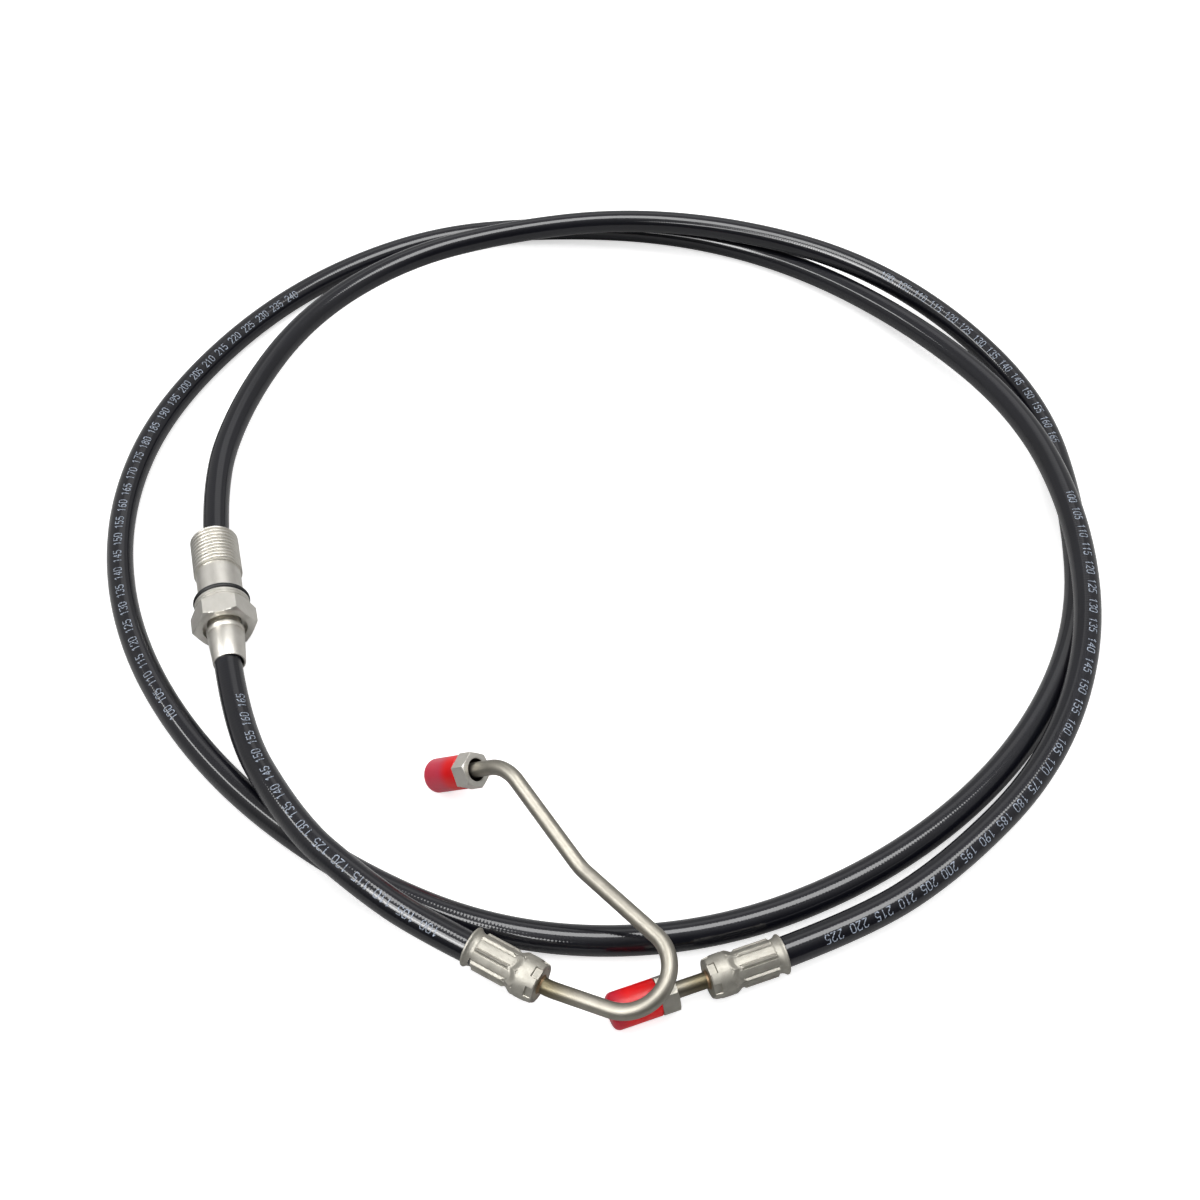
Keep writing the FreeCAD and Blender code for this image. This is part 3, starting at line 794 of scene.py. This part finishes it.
def makeBody():
    flat = body["flats"] / 2
    corner = hexCorner(body["flats"])
    collar = body["collarOuter"] / 2
    neck = body["neckOuter"] / 2
    thread = body["threadOuter"] / 2
    bore = body["bore"] / 2
    chamber = body["chamberBore"] / 2
    lip = body["lipBore"] / 2
    recess = body["recessOuter"] / 2
    edge = body["edge"]
    bevel = bevelDepths(body["flats"], body["bevelSteps"])
    threadEnd = body["threadEnd"] - body["chamfer"]
    outline = [(body["hexStart"], recess), (body["hexStart"], flat)]
    outline += [(body["hexStart"] + depth, corner) for depth in bevel]
    outline += [(body["hexEnd"] - depth, corner) for depth in reversed(bevel)]
    outline += [(body["hexEnd"], flat), (body["hexEnd"], collar)]
    for at in body["lineAt"]:
        start = at - body["lineWidth"] / 2
        end = at + body["lineWidth"] / 2
        deep = collar - body["lineDepth"]
        outline += [(start, collar), (start, deep), (end, deep), (end, collar)]
    outline += [
        (body["collarEnd"] - edge, collar),
        (body["collarEnd"], collar - edge),
        (body["collarEnd"], neck),
        (body["threadStart"], neck),
    ]
    outline += [(station, thread) for station in threadStations(body["threadStart"], threadEnd)]
    outline += [
        (body["threadEnd"] - body["chamfer"] / 2, thread - body["chamfer"] / 2),
        (body["threadEnd"], thread - body["chamfer"]),
        (body["threadEnd"], bore + edge),
        (body["threadEnd"] - edge, bore),
        (body["chamberEnd"], bore),
        (body["chamberEnd"], chamber),
        (body["lipEnd"], chamber),
        (body["lipEnd"], lip),
        (body["recessFloor"], lip),
        (body["recessFloor"], recess),
    ]
    piece = lathed("bulkheadBody", outline, bulkheadFrame, machinedSteel, body["sides"], bodyShape)
    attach(piece, "bulkhead")
    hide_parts("bulkhead_body")


ring = {"start": 33.05, "inner": 19.2, "section": 2.4, "steps": 20}


def makeRing():
    half = ring["section"] / 2
    outline = []
    middle = (ring["start"] + half, ring["inner"] / 2 + half)
    for step in range(ring["steps"]):
        angle = 2 * math.pi * step / ring["steps"]
        outline.append((middle[0] - half * math.cos(angle), middle[1] + half * math.sin(angle)))
    piece = lathed("sealRing", outline, bulkheadFrame, sealRubber)
    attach(piece, "bulkhead")
    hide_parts("bulkhead_seal_ring")


makeSleeve()
makeBody()
makeRing()
print("bulkhead made")


# crimped ferrules with eight pressed panels

ferrule = {
    "length": 29.2, "bore": 11.5, "boreFlare": 3.0, "wall": 0.35, "sides": 288, "step": 0.35,
    # mouth, flared for the hose; its curve is in shares of the flare's length and height
    "mouthOuter": 14.9, "mouthBore": 12.9, "mouthEdge": 0.2, "lip": 0.7,
    "flareEnd": 3.4, "flareCurve": ((0.45, 0.42), (0.75, 0.1), (1.0, 0.0)), "waistOuter": 12.5,
    # panels, with a ridge and two grooves where two of them meet
    "panels": 8, "panelStart": 4.0, "panelEnd": 17.4, "panelOuter": 12.9, "panelFlat": 0.55,
    "fadeIn": 0.5, "fadeOut": 0.6,
    "ridgeOuter": 13.7, "ridgeWidth": 0.5, "grooveWidth": 0.55, "grooveDepth": 0.42,
    # collar, with a low bead where the panels end
    "collarOuter": 15.8, "collarLead": 1.0, "collarRise": 3.4, "collarEnd": 25.4,
    "collarFall": (1.2, 0.12), "scallop": 1.3, "bead": 0.12,
    # tail
    "tailOuter": 15.0, "tailEdge": 0.4,
    "tailFlats": 6, "tailFlatWidth": 3.8, "tailFlatLength": 2.6, "tailFlatDepth": 0.55,
}


def smoothStep(low, high, value):
    share = min(max((value - low) / (high - low), 0.0), 1.0)
    return share * share * (3 - 2 * share)


def hump(share):
    # 1 at the middle of a rounded rise and 0 at its edge
    return 0.5 + 0.5 * math.cos(math.pi * share)


def ferruleShape(station, radius, angle):
    if radius < ferrule["bore"] / 2 + ferrule["wall"] or station < ferrule["lip"]:
        return radius
    panel = ferrule["panelOuter"] / 2
    collar = ferrule["collarOuter"] / 2
    sector = 2 * math.pi / ferrule["panels"]
    inside = (angle + sector / 2) % sector - sector / 2
    fromEdge = (sector / 2 - abs(inside)) * radius
    reach = radius
    # the collar starts later in the middle of a panel
    late = ferrule["scallop"] * (1 - (abs(inside) / (sector / 2)) ** 2)
    start = ferrule["panelEnd"] + late
    if ferrule["panelEnd"] - ferrule["collarLead"] < station < start + ferrule["collarRise"]:
        risen = smoothStep(start, start + ferrule["collarRise"], station)
        beadRise = smoothStep(start - ferrule["fadeIn"], start, station)
        beadFall = 1 - smoothStep(start, start + ferrule["fadeOut"], station)
        reach = panel + (collar - panel) * risen
        reach += ferrule["bead"] * beadRise * beadFall
    # panels are a little flat, and all their marks fade out at both ends
    inZone = smoothStep(ferrule["panelStart"] - ferrule["fadeIn"], ferrule["panelStart"], station)
    inZone *= 1 - smoothStep(start - ferrule["fadeOut"], start, station)
    flat = panel * math.cos(sector / 2) / math.cos(inside) + panel * (1 - math.cos(sector / 2))
    reach += (flat - panel) * ferrule["panelFlat"] * inZone
    halfGroove = ferrule["grooveWidth"] / 2
    beside = abs(fromEdge - ferrule["ridgeWidth"] - halfGroove) / halfGroove
    if beside < 1:
        reach -= ferrule["grooveDepth"] * hump(beside) * inZone
    if fromEdge < ferrule["ridgeWidth"]:
        rise = hump(fromEdge / ferrule["ridgeWidth"])
        reach += (ferrule["ridgeOuter"] / 2 - panel) * rise * inZone
    # small flats at the tail
    if station > ferrule["length"] - ferrule["tailFlatLength"]:
        share = 2 * math.pi / ferrule["tailFlats"]
        fromMiddle = (angle + share / 2) % share - share / 2
        flatAt = ferrule["tailOuter"] / 2 - ferrule["tailFlatDepth"]
        if abs(math.tan(fromMiddle) * flatAt) < ferrule["tailFlatWidth"] / 2:
            reach = min(reach, flatAt / math.cos(fromMiddle))
    return reach


def makeFerrule(name, node, place):
    mouth = ferrule["mouthOuter"] / 2
    waist = ferrule["waistOuter"] / 2
    panel = ferrule["panelOuter"] / 2
    collar = ferrule["collarOuter"] / 2
    tail = ferrule["tailOuter"] / 2
    bore = ferrule["bore"] / 2
    fallLength, fallDrop = ferrule["collarFall"]
    outline = [
        (0, ferrule["mouthBore"] / 2),
        (0, mouth - ferrule["mouthEdge"]),
        (ferrule["mouthEdge"], mouth),
        (ferrule["lip"], mouth),
    ]
    outline += [(ferrule["flareEnd"] * along, waist + (mouth - waist) * up)
                for along, up in ferrule["flareCurve"]]
    outline += [
        (ferrule["panelStart"], panel),
        (ferrule["panelEnd"] - ferrule["collarLead"], panel),
        (ferrule["panelEnd"] + ferrule["collarRise"] + ferrule["scallop"], collar),
        (ferrule["collarEnd"] - ferrule["collarLead"], collar),
        (ferrule["collarEnd"] + fallLength, collar - fallDrop),
        (ferrule["length"] - ferrule["tailEdge"], tail),
        (ferrule["length"], tail - ferrule["tailEdge"]),
        (ferrule["length"], bore),
        (ferrule["boreFlare"], bore),
    ]
    piece = lathed(name, closer(outline, ferrule["step"]), place, castSteel,
                   ferrule["sides"], ferruleShape)
    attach(piece, "hose_line")
    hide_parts(node)


leftFrame = lyingAlong(leftMouth, leftAlong)
rightFrame = lyingAlong(rightMouth, rightAlong)
makeFerrule("leftFerrule", "left_ferrule", leftFrame)
makeFerrule("rightFerrule", "right_ferrule", rightFrame)
print("ferrules made")


# steel tubes, whose flared ends carry the nuts

tube = {
    "outer": 6.0, "bore": 4.0, "socket": 6.0, "sides": 32, "arcStep": 4.0,
    "flareOuter": 8.5, "flareRim": 0.5, "flareLap": 0.5, "flareSides": 64, "boreShown": 22.0,
    "leftFeed": 8.0, "rightFeed": 18.6,  # straight lengths before the nuts
}
leftBends = [  # straight length, roll about it, turn, radius of the bend
    (1.0 + tube["socket"], 60.0, 11.0, 25.0),
    (21.0, -48.0, 157.0, 15.5),
    (36.0, 138.0, 14.0, 25.0),
    (39.0, 177.0, 55.5, 15.0),
]
nut = {
    "flats": 13.0, "hexLength": 6.6, "bevelSteps": 5, "bevelOffset": 0.1,
    "faceEdge": (0.05, 0.3), "mouthEdge": (0.35, 0.25),  # length along, and height
    "mouth": 8.8, "mouthDepth": 4.2, "gap": 0.05, "turnGap": 0.3,
    "threadOuter": 11.9, "pitch": 1.0, "threadDepth": 0.5, "relief": 1.0,
    "length": 20.5, "chamfer": 0.8,
}
flareRise = (tube["flareOuter"] - tube["outer"]) / 2
nutConeStart = nut["length"] - flareRise
flareStart = nutConeStart + nut["turnGap"] + nut["gap"]


def bentLine(start, along, bends, last):
    # points along the tube's middle, and the direction in which it ends
    point = Vector(start)
    ahead = Vector(along).normalized()
    side = Vector((0, 0, 1)).cross(ahead).normalized()
    points = [point.copy()]
    for feed, roll, turn, radius in bends:
        point = point + ahead * feed
        side = Quaternion(ahead, math.radians(roll)) @ side
        centre = point + side * radius
        normal = ahead.cross(side)
        pieces = max(2, round(turn / tube["arcStep"]))
        step = Quaternion(normal, math.radians(turn / pieces))
        points.append(point.copy())
        for piece in range(pieces):
            point = centre + step @ (point - centre)
            points.append(point.copy())
            ahead = step @ ahead
            side = step @ side
    points.append(point + ahead * last)
    return points, ahead


def makeTube(name, node, mouth, along, bends, last):
    start = mouth + along * (ferrule["length"] - tube["socket"])
    points, ahead = bentLine(start, along, bends, last + flareStart)
    end = points[-1]
    rimEnd = flareRise + tube["flareRim"]
    outer = tube["outer"] / 2
    bore = tube["bore"] / 2
    runs = [0.0]
    for here, there in zip(points, points[1:]):
        runs.append(runs[-1] + (there - here).length)
    piece = swept(name, points, outer, tube["sides"], tubeSteel, runs)
    flare = [
        (-tube["boreShown"], bore),
        (-tube["flareLap"], outer),
        (0, outer),
        (flareRise, tube["flareOuter"] / 2),
        (rimEnd, tube["flareOuter"] / 2),
        (rimEnd, bore + rimEnd),
        (0, bore),
    ]
    flarePiece = lathed(name + "Flare", flare, lyingAlong(end, ahead), tubeSteel,
                        tube["flareSides"])
    for part in (piece, flarePiece):
        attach(part, "hose_line")
    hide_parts(node)
    return end - ahead * flareStart, ahead


braze = {
    "outer": 7.4, "rise": 0.9, "back": 0.3, "lap": 0.05, "shoulder": 0.25, "foot": 0.12,
    "sides": 64,
}


def makeBraze(name, place):
    # filler that runs out between tube and insert, concave
    outer = braze["outer"] / 2
    inner = tube["outer"] / 2 - braze["lap"]
    start = ferrule["length"] - braze["back"]
    face = start + braze["back"]
    outline = [
        (start, inner),
        (start, outer),
        (face + braze["lap"], outer),
        (face + braze["shoulder"], (outer + inner) / 2),
        (face + braze["rise"], inner + braze["foot"]),
        (face + braze["rise"], inner),
    ]
    piece = lathed(name, outline, place, brazedSteel, braze["sides"])
    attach(piece, "hose_line")


leftNutStart, leftNutAlong = makeTube("leftTube", "left_tube", leftMouth, leftAlong,
                                      leftBends, tube["leftFeed"])
rightNutStart, rightNutAlong = makeTube("rightTube", "right_tube", rightMouth, rightAlong,
                                        [], tube["rightFeed"])
makeBraze("leftBraze", leftFrame)
makeBraze("rightBraze", rightFrame)
print("tubes bent")


# nuts and their caps

def nutShape(station, radius, angle):
    touch = meshing["touch"]
    thread = nut["threadOuter"] / 2
    if station <= nut["hexLength"] + touch and radius > thread + touch:
        return min(radius, hexRadius(nut["flats"], angle),
                   bevelRadius(nut["flats"], station) + nut["bevelOffset"])
    inThread = nut["hexLength"] + nut["relief"] < station < nut["length"] - nut["chamfer"]
    if inThread and radius > thread - touch:
        turns = station / nut["pitch"] - angle / (2 * math.pi)
        return radius - nut["threadDepth"] * threadCut(turns)
    return radius


def makeNut(name, node, owner, start, along, material):
    flat = nut["flats"] / 2
    corner = hexCorner(nut["flats"])
    thread = nut["threadOuter"] / 2
    threadEnd = nut["length"] - nut["chamfer"]
    mouth = nut["mouth"] / 2
    tubeBore = tube["outer"] / 2 + nut["gap"]
    faceLength, faceDrop = nut["faceEdge"]
    mouthLength, mouthRise = nut["mouthEdge"]
    outline = [(0, mouth + mouthRise), (0, flat - faceDrop), (faceLength, flat)]
    outline += [(depth, corner) for depth in bevelDepths(nut["flats"], nut["bevelSteps"])]
    outline += [(nut["hexLength"], corner), (nut["hexLength"], thread)]
    outline += [(station, thread) for station in threadStations(nut["hexLength"], threadEnd)]
    outline += [
        (nut["length"], thread - nut["chamfer"]),
        (nut["length"], tubeBore + flareRise),
        (nutConeStart, tubeBore),
        (nut["mouthDepth"], tubeBore),
        (nut["mouthDepth"], mouth),
        (mouthLength, mouth),
    ]
    piece = lathed(name, outline, lyingAlong(start, along), material, shape=nutShape)
    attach(piece, owner)
    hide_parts(node)


cap = {
    "outer": 13.6, "bore": 12.1, "length": 18.2, "end": 1.5, "seat": 0.1, "lipEdge": 0.25,
    "round": 2.6, "roundSteps": 8, "innerRound": 0.6, "gateRadius": 1.0, "gateDepth": 0.05,
}


def makeCap(name, node, owner, start, along, material):
    outer = cap["outer"] / 2
    bore = cap["bore"] / 2
    floor = cap["length"] - cap["end"]
    gate = cap["length"] - cap["gateDepth"]
    outline = [(0, bore), (0, outer - cap["lipEdge"]), (cap["lipEdge"], outer)]
    for step in range(cap["roundSteps"] + 1):
        angle = math.pi / 2 * step / cap["roundSteps"]
        outline.append((cap["length"] - cap["round"] + cap["round"] * math.sin(angle),
                        outer - cap["round"] + cap["round"] * math.cos(angle)))
    outline += [
        (gate, cap["gateRadius"]),
        (gate, 0.0),
        (floor, 0.0),
        (floor, bore - cap["innerRound"]),
        (floor - cap["innerRound"], bore),
    ]
    mouth = start + along * (nut["hexLength"] + cap["seat"])
    piece = lathed(name, outline, lyingAlong(mouth, along), material)
    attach(piece, owner)
    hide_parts(node)


makeNut("leftNut", "left_nut", "left_nut_body", leftNutStart, leftNutAlong, leftNutSteelPaintedLighter)
makeNut("rightNut", "right_nut", "right_nut_body", rightNutStart, rightNutAlong, rightNutSteelPaintedDarker)
makeCap("leftCap", "left_cap", "left_cap_body", leftNutStart, leftNutAlong, leftCapPlastic)
makeCap("rightCap", "right_cap", "right_cap_body", rightNutStart, rightNutAlong, rightCapPlastic)

# the inserts stay as they are in the frame and get their steel
for node in ("left_insert", "right_insert"):
    for holder in bpy.data.objects[node].material_slots:
        holder.material = hiddenSteel
print("nuts and caps made")


# floor, world and lamps

room = {
    "floorSize": 6000.0,
    "sweep": "#e6e6e6",
    "mirrored": "#b0b0b0",  # painted shade: polished things show the floor darker than it is, which darkens their undersides
    "floorGlow": 0.62,  # for the camera alone, near the object
    "farGlow": 1.0,
    "glowRise": (450.0, 1300.0),  # from the frame's origin
    "frontSky": 0.04,
    "backSky": 0.46,
    "skyTurn": (-0.75, -0.1),  # how far back the sky starts and stops getting brighter
}


def makeFloor():
    half = room["floorSize"] / 2
    corners = [(-half, -half, 0), (half, -half, 0), (half, half, 0), (-half, half, 0)]
    # painted studio sweep: matt, white to the camera, and it keeps the object's soft shadow
    material, tree, shader = startMaterial("white sweep", 0.9)
    place = addNode(tree, "ShaderNodeTexCoord")
    away = addNode(tree, "ShaderNodeVectorMath", {"operation": "LENGTH"},
                   {0: place.outputs["Object"]})
    near, far = room["glowRise"]
    seen = addNode(tree, "ShaderNodeMapRange", {"interpolation_type": "SMOOTHSTEP"},
                   {"Value": away.outputs["Value"], "From Min": near * mm, "From Max": far * mm,
                    "To Min": room["floorGlow"], "To Max": room["farGlow"]})
    path = addNode(tree, "ShaderNodeLightPath")
    mirrored = addNode(tree, "ShaderNodeMath", {"operation": "MAXIMUM"},
                       {0: path.outputs["Is Glossy Ray"], 1: path.outputs["Is Transmission Ray"]})
    # painted shade in reflections: the floor turns darker where glossy and transmission rays see it
    paint = addNode(tree, "ShaderNodeMix", {"data_type": "RGBA"},
                    {0: mirrored.outputs[0], 6: hexColour(room["sweep"]),
                     7: hexColour(room["mirrored"])})
    glow = addNode(tree, "ShaderNodeMath", {"operation": "MULTIPLY"},
                   {0: path.outputs["Is Camera Ray"], 1: seen.outputs["Result"]})
    setInputs(tree, shader, {
        "Base Color": paint.outputs[2],
        "Emission Color": (1, 1, 1, 1),
        "Emission Strength": glow.outputs[0],
    })
    floor = makePiece("floor", corners, [(0, 1, 2, 3)], [(0, 0)] * 4, material)


def makeWorld():
    world = bpy.data.worlds.new("studio")
    bpy.context.scene.world = world
    world.use_nodes = True
    tree = world.node_tree
    tree.nodes.clear()
    place = addNode(tree, "ShaderNodeTexCoord")
    ways = addNode(tree, "ShaderNodeSeparateXYZ", None, {0: place.outputs["Generated"]})
    # bright behind and beside the coil, dark on the viewer's side, white to the camera
    turnStart, turnEnd = room["skyTurn"]
    behind = addNode(tree, "ShaderNodeMapRange", {"interpolation_type": "SMOOTHSTEP"},
                     {"Value": ways.outputs["Y"], "From Min": turnStart, "From Max": turnEnd,
                      "To Min": room["frontSky"], "To Max": room["backSky"]})
    path = addNode(tree, "ShaderNodeLightPath")
    shown = addNode(tree, "ShaderNodeMix", {"data_type": "FLOAT"},
                    {0: path.outputs["Is Camera Ray"], 2: behind.outputs["Result"], 3: 1.0})
    sky = addNode(tree, "ShaderNodeBackground", None,
                  {"Color": (1, 1, 1, 1), "Strength": shown.outputs[0]})
    addNode(tree, "ShaderNodeOutputWorld", None, {"Surface": sky.outputs[0]})


def addLamp(name, place, aim, width, depth, watts, lights=True, mirrored=True):
    # one with lights off only shows in the gloss, one with mirrored off only gives light
    data = bpy.data.lights.new(name, "AREA")
    data.shape = "RECTANGLE"
    data.size = width * mm
    data.size_y = depth * mm
    data.energy = watts
    lamp = bpy.data.objects.new(name, data)
    lamp.location = Vector(place) * mm
    lamp.rotation_euler = (Vector(place) - Vector(aim)).to_track_quat("Z", "X").to_euler()
    lamp.visible_diffuse = lights
    lamp.visible_glossy = mirrored
    bpy.context.scene.collection.objects.link(lamp)


makeFloor()
makeWorld()
addLamp("overhead softbox", (300, 200, 1300), (300, 150, 0), 620, 1020, 16.5, lights=False)
addLamp("left strip", (-700, -560, 1300), (56, 100, 0), 800, 420, 11, lights=False)
addLamp("long left strip", (-890, -446, 1302), (56, 100, 0), 240, 2400, 18, lights=False)
addLamp("back window", (250, 1600, 1300), (56, 120, 0), 700, 1300, 2, lights=False)
addLamp("ceiling bounce", (56, 60, 1500), (56, 100, 0), 3000, 3000, 42, mirrored=False)

bpy.context.scene.view_settings.view_transform = "Standard"
print("studio lit")
